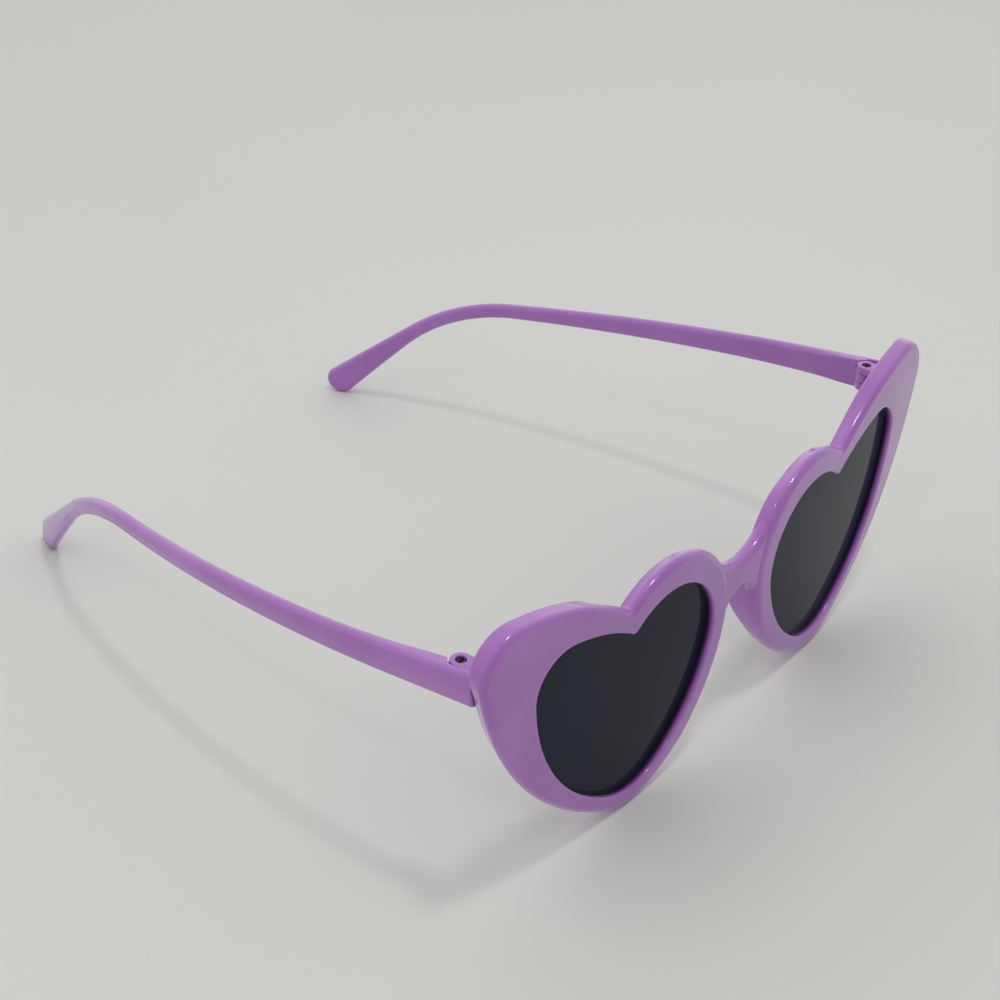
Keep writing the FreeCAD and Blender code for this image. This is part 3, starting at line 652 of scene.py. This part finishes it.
def temple_shell(shells):
    """The left temple: a rounded section carried from the front end to the tip.

    Columns follow the inner side's plan path round the hinge and then the arm's length. Each section
    has four rounded edges, where the plan's two sides meet the upper and lower edge of the side view.
    """
    scene = bpy.context.scene
    temple, hinge = scene.hearts_temple, scene.hearts_hinge
    inside = temple_inside(temple, hinge)
    inward = plan_normal(inside, True)
    start, count = inside[-1, 1], len(inside)
    straight_x, outward = arm_plan(temple, inside[:, 1], False)
    outside = np.stack([straight_x, inside[:, 1]], axis=1)
    hinge_round, full = temple.end_round, temple.edge_round
    soften = smooth_step((inside[:, 1] - hinge.axis[1] - temple.relief) / temple.round_run)
    inner_round = hinge_round + (full - hinge_round) * soften
    corners = {}
    for up in (1, -1):
        points, normals = side_edge(temple, up, start)
        fall = edge_turns(temple, up)[0]
        wall = np.concatenate([up * raised(np.full(count, fall)), normals])
        for inner in (False, True):
            near = inside if inner else outside
            near_z = temple.middle + up * temple.height / 2 - math.tan(fall) * (near[:, 1] - temple.butt)
            x, side = arm_plan(temple, points[:, 0], inner)
            edge = np.concatenate([np.column_stack([near, near_z]), np.column_stack([x, points])])
            face = np.concatenate([inward if inner else outward, side])
            corners[up, inner] = edge, face, np.column_stack([np.zeros(len(wall)), wall])
    tall = np.linalg.norm(corners[1, False][0] - corners[-1, False][0], axis=1, keepdims=True)
    crown = temple.crown * tall / temple.height
    # The crown is a parabola over the height, and this is its slope at the edges.
    tilt = math.atan(4 * temple.crown / temple.height)
    edges = {}
    for (up, inner), (edge, face, wall) in corners.items():
        swell, rise = (0.0, 0.0) if inner else (crown, up * math.sin(tilt))
        edge[:, :2] -= swell * face
        face = np.column_stack([face * math.sqrt(1 - rise ** 2), np.full(len(face), rise)])
        radius = np.full((len(edge), 1), full)
        radius[:count] = inner_round[:, None] if inner else full
        edges[up, inner] = fillet(edge, face, wall, radius, TEMPLE_ROUND_ROWS)
    outer_face = between(edges[-1, False][0], edges[1, False][0], TEMPLE_FACE_ROWS)
    inner_face = between(edges[1, True][0], edges[-1, True][0], TEMPLE_FACE_ROWS)
    drop = np.linspace(-1, 1, TEMPLE_FACE_ROWS + 2)[1:-1, None] ** 2
    outer_face[..., 0] = arm_plan(temple, outer_face[..., 1], False)[0] - crown[:, 0] * drop
    inner_face[:, count:, 0] = arm_plan(temple, inner_face[:, count:, 1], True)[0]
    ring = np.concatenate([outer_face, edges[1, False], edges[1, True][::-1],
                           inner_face, edges[-1, True], edges[-1, False][::-1]])
    mouth = ring[:, :1].mean(axis=0, keepdims=True)
    shrink = 1 - hinge_round / np.array([temple.skin / 2, 1.0, temple.height / 2])
    inset = mouth + (ring[:, :1] - mouth) * shrink
    ring[:, 0, 1] += hinge_round
    ring[:, 0, 1] = np.maximum(ring[:, 0, 1], inset[:, 0, 1] + hinge_round)
    inset[..., 1] = temple.butt
    closed = np.repeat(inset.mean(axis=0, keepdims=True), len(ring), axis=0)
    closed[..., 2] = inset[..., 2]
    shells.add(np.concatenate([closed, inset, ring], axis=1), row_ring=True)


def lens_shell(shells):
    """The left lens: a curved plate in the groove, rings of the opening's heart drawn towards a centre."""
    scene = bpy.context.scene
    lens = scene.hearts_lens
    outline, way = heart(scene.hearts_opening, LENS_COLUMNS)
    edge = outline + lens.reach * way
    soft = outline + (lens.reach - lens.bevel) * way
    centre = np.array(lens.centre)
    shares = np.linspace(0, 1, LENS_ROWS)[:, None, None]
    plate = centre + shares * (soft - centre)
    front = np.stack([on_layer(ring, lens.setback) for ring in plate])
    rear = np.stack([on_layer(ring, lens.setback + lens.thickness) for ring in plate])
    rim = np.stack([on_layer(edge, lens.setback + lens.bevel),
                    on_layer(edge, lens.setback + lens.thickness - lens.bevel)])
    shells.add(np.concatenate([front, rim, rear[::-1]]), column_ring=True)


class Value:
    """A shader socket; calculating with it adds Math nodes."""

    def __init__(self, graph, socket):
        self.graph, self.socket = graph, socket

    def math(self, operation, *others):
        """A Math node whose first input is this socket."""
        inputs = dict(enumerate((self,) + others))
        return self.graph.node("ShaderNodeMath", {"operation": operation}, inputs)

    def __add__(self, other):
        return self.math("ADD", other)

    def __sub__(self, other):
        return self.math("SUBTRACT", other)

    def __mul__(self, other):
        return self.math("MULTIPLY", other)

    __radd__ = __add__
    __rmul__ = __mul__

    def span(self, low, high):
        """0 below low, 1 above high, smooth between."""
        return self.graph.node("ShaderNodeMapRange", {"interpolation_type": "SMOOTHSTEP"},
                               {"Value": self, "From Min": low, "From Max": high})


class Graph:
    """Nodes of a material or of the world, added one call at a time."""

    def __init__(self, owner):
        owner.use_nodes = True
        self.owner, self.tree = owner, owner.node_tree
        self.tree.nodes.clear()

    def node(self, kind, settings=None, inputs=None, output=0):
        """Add a node: settings first, then socket values or links, and give one of its outputs."""
        added = self.tree.nodes.new(kind)
        for key, value in (settings or {}).items():
            setattr(added, key, value)
        for key, value in (inputs or {}).items():
            socket = self.find(added.inputs, key)
            if isinstance(value, Value):
                self.tree.links.new(value.socket, socket)
            else:
                socket.default_value = value
        return Value(self, self.find(added.outputs, output))

    @staticmethod
    def find(sockets, key):
        """The socket with that number, identifier or name."""
        if isinstance(key, int):
            return sockets[key]
        return next(socket for socket in sockets if key in (socket.identifier, socket.name))

    def place(self):
        """Object coordinates in metres."""
        return self.node("ShaderNodeTexCoord", output="Object")

    def stretched(self, scale):
        """Object coordinates stretched along the axes."""
        return self.node("ShaderNodeVectorMath", {"operation": "MULTIPLY"}, {0: self.place(), 1: scale})

    def noise(self, where, scale, detail=2.0, warp=0.0):
        """Cloudy noise from about 0 to 1."""
        return self.node("ShaderNodeTexNoise", {}, {"Vector": where, "Scale": scale, "Detail": detail,
                                                    "Distortion": warp})

    def mix(self, factor, first, second):
        """A colour between two colours."""
        return self.node("ShaderNodeMix", {"data_type": "RGBA"},
                         {"Factor_Float": factor, "A_Color": first, "B_Color": second}, "Result_Color")

    def bump(self, height, strength, distance, **under):
        """The normal of a bumpy skin, laid over another Normal where one is given."""
        inputs = {"Height": height, "Strength": strength, "Distance": distance, **under}
        return self.node("ShaderNodeBump", {}, inputs, "Normal")

    def output(self, kind, shader):
        """Link a shader to an output node and give the material or world."""
        added = self.tree.nodes.new(kind)
        self.tree.links.new(shader.socket, added.inputs["Surface"])
        return self.owner

    def surface(self, inputs):
        """A Principled surface as the material's output."""
        return self.output("ShaderNodeOutputMaterial", self.node("ShaderNodeBsdfPrincipled", {}, inputs))

    def sky(self, strength, span, way):
        """White light all round, brighter from one side than from the other, as the world's output."""
        low, high = span
        view = self.node("ShaderNodeTexCoord", output="Generated")
        facing = self.node("ShaderNodeVectorMath", {"operation": "DOT_PRODUCT"}, {0: view, 1: way}, "Value")
        share = low + facing.span(-1.0, 1.0) * (high - low)
        white = (1.0, 1.0, 1.0, 1.0)
        light = self.node("ShaderNodeBackground", {}, {"Color": white, "Strength": share * strength})
        return self.output("ShaderNodeOutputWorld", light)


def solid(tint, light=1.0):
    """A colour property, lightened or darkened, with full opacity."""
    return (*(part * light for part in tint), 1.0)


def plastic_finish(graph, place, tints):
    """Glossy moulded plastic: mottled colour, flow waves, fine grain, hairlines, and painted shade in the
    lens seats.
    """
    mottle = graph.noise(place, 55.0, 3.0)
    flow = graph.noise(place, 190.0, 2.0, warp=0.4)
    grain = graph.noise(place, 2600.0, 2.0)
    hairs = graph.noise(graph.stretched((900.0, 120.0, 5200.0)), 1.0, 3.0)
    scratch = hairs.span(0.63, 0.72)
    wear = graph.noise(place, 85.0, 4.0).span(0.45, 0.7)
    # Painted shade: in each lens seat the colour darkens towards the lens, following the mesh's seat shade
    # attribute.
    painted_seat_shade = graph.node("ShaderNodeAttribute", {"attribute_name": "painted_seat_shade"}, output="Fac")
    base = graph.mix(mottle.span(0.35, 0.68), solid(tints.plastic), solid(tints.plastic_deep))
    tone = graph.mix(painted_seat_shade.span(0.0, 0.85), base, solid(tints.painted_seat_shade))
    rough = 0.27 + wear * 0.09 + grain * 0.04 + scratch * 0.16
    waves = graph.bump(flow, 0.10, 0.0006)
    fine = graph.bump(grain - scratch * 0.5, 0.06, 0.0002, Normal=waves)
    return {"Base Color": tone, "Roughness": rough, "Normal": fine, "IOR": 1.5,
            "Coat Weight": 1.0, "Coat Roughness": 0.05,
            "Subsurface Weight": 0.06, "Subsurface Radius": (1.0, 0.6, 1.0), "Subsurface Scale": 0.0015}


def lens_finish(graph, place, tints):
    """Dark smoke lens: faint tint drift, smudges that dull the gloss, fine wiping marks."""
    drift = graph.noise(place, 22.0, 2.0)
    smudge = graph.noise(place, 70.0, 4.0, warp=0.8).span(0.48, 0.75)
    wipe = graph.noise(graph.stretched((300.0, 300.0, 3800.0)), 1.0, 2.0).span(0.6, 0.75)
    tone = graph.mix(drift, solid(tints.smoke), solid(tints.smoke, 1.5))
    rough = 0.06 + smudge * 0.08 + wipe * 0.05
    skin = graph.bump(graph.noise(place, 45.0), 0.05, 0.0006)
    return {"Base Color": tone, "Roughness": rough, "Normal": skin, "IOR": 1.49,
            "Specular IOR Level": 0.13, "Alpha": 0.985}


def steel_finish(graph, place, tints):
    """Turned steel: fine rings of grain, uneven gloss and a slight stain."""
    stain = graph.noise(place, 900.0, 3.0).span(0.5, 0.75)
    turned = graph.noise(graph.stretched((800.0, 800.0, 16000.0)), 1.0, 3.0)
    tone = graph.mix(stain, solid(tints.steel), solid(tints.steel, 0.55))
    rough = 0.26 + turned * 0.18 + stain * 0.12
    skin = graph.bump(turned, 0.25, 0.0001)
    return {"Base Color": tone, "Roughness": rough, "Normal": skin, "Metallic": 1.0}


def floor_finish(graph, place, tints):
    """Pale matt board: slight tone drift and fine tooth."""
    drift = graph.noise(place, 3.0, 3.0)
    tooth = graph.noise(place, 900.0, 3.0)
    tone = graph.mix(drift.span(0.3, 0.7) * 0.5, solid(tints.floor), solid(tints.floor, 0.94))
    rough = 0.62 + tooth * 0.15
    skin = graph.bump(tooth, 0.08, 0.0004)
    return {"Base Color": tone, "Roughness": rough, "Normal": skin}


FINISHES = {"orchid_plastic": plastic_finish, "smoke_lens": lens_finish, "turned_steel": steel_finish,
            "pale_floor": floor_finish}


def material(name):
    """The material of that name, built when it is first asked for."""
    if name in bpy.data.materials:
        return bpy.data.materials[name]
    graph = Graph(bpy.data.materials.new(name))
    return graph.surface(FINISHES[name](graph, graph.place(), bpy.context.scene.hearts_colours))


def settle(item, body, slot, finish, *nodes):
    """Give a piece its finish, hide the CAD nodes it replaces and hang it on the body it rides on; slot is
    not used.
    """
    item.data.materials.clear()
    item.data.materials.append(material(finish))
    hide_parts(*nodes)
    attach(item, body)


class SUNGLASSES_OT_front(bpy.types.Operator):
    """Mould the front: two heart rims, the bridge, the nose pads and the hinge lugs"""

    bl_idname = "sunglasses.front"
    bl_label = "Front"

    def execute(self, context):
        hinge = context.scene.hearts_hinge
        half = Shells()
        rim_shell(half)
        root = (-hinge.knuckle_r, hinge.knuckle_r, -hinge.front_reach, 0.0)
        lug_shell(half, root, hinge.lower, hinge.root_bore)
        lug_shell(half, root, hinge.upper, hinge.shank_bore, (hinge.head_bore, hinge.head_seat))
        half.mirror()
        bridge_shell(half)
        moulding = half.piece("front_moulding")
        settle(moulding, "front", "frame_plastic", "orchid_plastic", "frame_front")
        return {"FINISHED"}


class SUNGLASSES_OT_lenses(bpy.types.Operator):
    """Cut the two tinted lenses to the openings"""

    bl_idname = "sunglasses.lenses"
    bl_label = "Lenses"

    def execute(self, context):
        for name, side in SIDES:
            plate = Shells()
            lens_shell(plate)
            lens = plate.piece(name + "_lens_plate", side)
            settle(lens, "front", "lens_tint", "smoke_lens", name + "_lens")
        return {"FINISHED"}


class SUNGLASSES_OT_temples(bpy.types.Operator):
    """Form the two temples with their hinge knuckles"""

    bl_idname = "sunglasses.temples"
    bl_label = "Temples"

    def execute(self, context):
        hinge = context.scene.hearts_hinge
        out, ahead, behind = hinge.web
        for name, side in SIDES:
            arm = Shells()
            temple_shell(arm)
            lug_shell(arm, (0.0, out, -ahead, behind), hinge.middle, hinge.shank_bore)
            temple = arm.piece(name + "_temple_arm", side)
            settle(temple, name + "_arm", "frame_plastic", "orchid_plastic", name + "_temple")
        return {"FINISHED"}


class SUNGLASSES_OT_screws(bpy.types.Operator):
    """Finish the two hinge screws of the frame in steel"""

    bl_idname = "sunglasses.screws"
    bl_label = "Hinge screws"

    def execute(self, context):
        for name, _ in SIDES:
            screw = frame["nodes"][name + "_hinge_screw"]
            screw.data.materials.clear()
            screw.data.materials.append(material("turned_steel"))
        return {"FINISHED"}


class SUNGLASSES_OT_stage(bpy.types.Operator):
    """Set the pale floor, the soft lights and the camera"""

    bl_idname = "sunglasses.stage"
    bl_label = "Stage"

    def execute(self, context):
        scene = context.scene
        settings = scene.hearts_stage
        line = np.linspace(-settings.floor_half, settings.floor_half, FLOOR_COLUMNS)
        ground = np.stack(np.broadcast_arrays(line[None, :], line[:, None], 0.0), axis=-1).reshape(-1, 3)
        mesh = bpy.data.meshes.new("floor")
        mesh.from_pydata(ground.tolist(), [], quads(FLOOR_COLUMNS, FLOOR_COLUMNS).tolist())
        mesh.materials.append(material("pale_floor"))
        floor = bpy.data.objects.new("floor", mesh)
        scene.collection.objects.link(floor)
        self.light(scene, "key", settings.key, settings.key_size, settings.key_place)
        self.light(scene, "lamp", settings.lamp, settings.lamp_size, settings.lamp_place)
        studio = Graph(bpy.data.worlds.new("studio"))
        scene.world = studio.sky(settings.sky, settings.sky_span, settings.sky_way)
        scene.view_settings.view_transform = "Standard"
        self.look(scene, settings)
        return {"FINISHED"}

    @staticmethod
    def light(scene, name, watts, size, place):
        """A square area light that faces the aim, about the middle of the front."""
        data = bpy.data.lights.new(name, "AREA")
        data.energy, data.size = watts, size
        lamp = bpy.data.objects.new(name, data)
        lamp.location = place
        away = Vector(place) - Vector(scene.hearts_stage.aim)
        lamp.rotation_euler = away.to_track_quat("Z", "Y").to_euler()
        scene.collection.objects.link(lamp)

    @staticmethod
    def look(scene, settings):
        """The camera, given in the upright frame and stood on the ground with the glasses."""
        turn, fall, roll = settings.azimuth, settings.elevation, settings.roll
        level = np.array([math.cos(turn), math.sin(turn), 0.0])
        forward = np.array([-math.sin(turn), math.cos(turn), 0.0])
        ahead = math.cos(fall) * forward - math.sin(fall) * np.array([0.0, 0.0, 1.0])
        up = np.cross(level, ahead)
        across = math.cos(roll) * level + math.sin(roll) * up
        above = -math.sin(roll) * level + math.cos(roll) * up
        lean, shift = upright_to_ground()
        place = Matrix.Identity(4)
        axes = lean @ np.stack([across, above, -ahead], axis=1)
        spot = lean @ np.array(settings.camera) + shift
        for row in range(3):
            place[row] = (*axes[row], spot[row])
        data = bpy.data.cameras.new("camera")
        data.lens, data.sensor_width = settings.lens, FILM_WIDTH
        data.clip_start, data.clip_end = NEAR_CLIP, FAR_CLIP
        camera = bpy.data.objects.new("camera", data)
        camera.matrix_world = place
        scene.collection.objects.link(camera)
        scene.camera = camera


class SUNGLASSES_PT_panel(bpy.types.Panel):
    """Sidebar panel that lists the build steps"""

    bl_idname = "SUNGLASSES_PT_panel"
    bl_label = "Heart Sunglasses"
    bl_space_type = "VIEW_3D"
    bl_region_type = "UI"
    bl_category = "Sunglasses"

    def draw(self, context):
        for step in STEPS:
            self.layout.operator(step.bl_idname)


STEPS = (SUNGLASSES_OT_front, SUNGLASSES_OT_lenses, SUNGLASSES_OT_temples, SUNGLASSES_OT_screws,
         SUNGLASSES_OT_stage)
GROUPS = {"hearts_opening": OpeningShape, "hearts_rim": RimShape, "hearts_front": FrontSizes,
          "hearts_lens": LensSizes, "hearts_hinge": HingeSizes, "hearts_temple": TempleSizes,
          "hearts_colours": FinishColours, "hearts_stage": StageSettings}


def register():
    """Add the classes and the scene's settings."""
    for kind in (*GROUPS.values(), *STEPS, SUNGLASSES_PT_panel):
        bpy.utils.register_class(kind)
    for name, kind in GROUPS.items():
        setattr(bpy.types.Scene, name, PointerProperty(type=kind))


def unregister():
    """Take the settings and the classes away again."""
    for name in GROUPS:
        delattr(bpy.types.Scene, name)
    for kind in (SUNGLASSES_PT_panel, *STEPS, *GROUPS.values()):
        bpy.utils.unregister_class(kind)


def main():
    """Build every piece and the stage."""
    register()
    bpy.ops.sunglasses.front()
    bpy.ops.sunglasses.lenses()
    bpy.ops.sunglasses.temples()
    bpy.ops.sunglasses.screws()
    bpy.ops.sunglasses.stage()


if __name__ == "__main__":
    main()
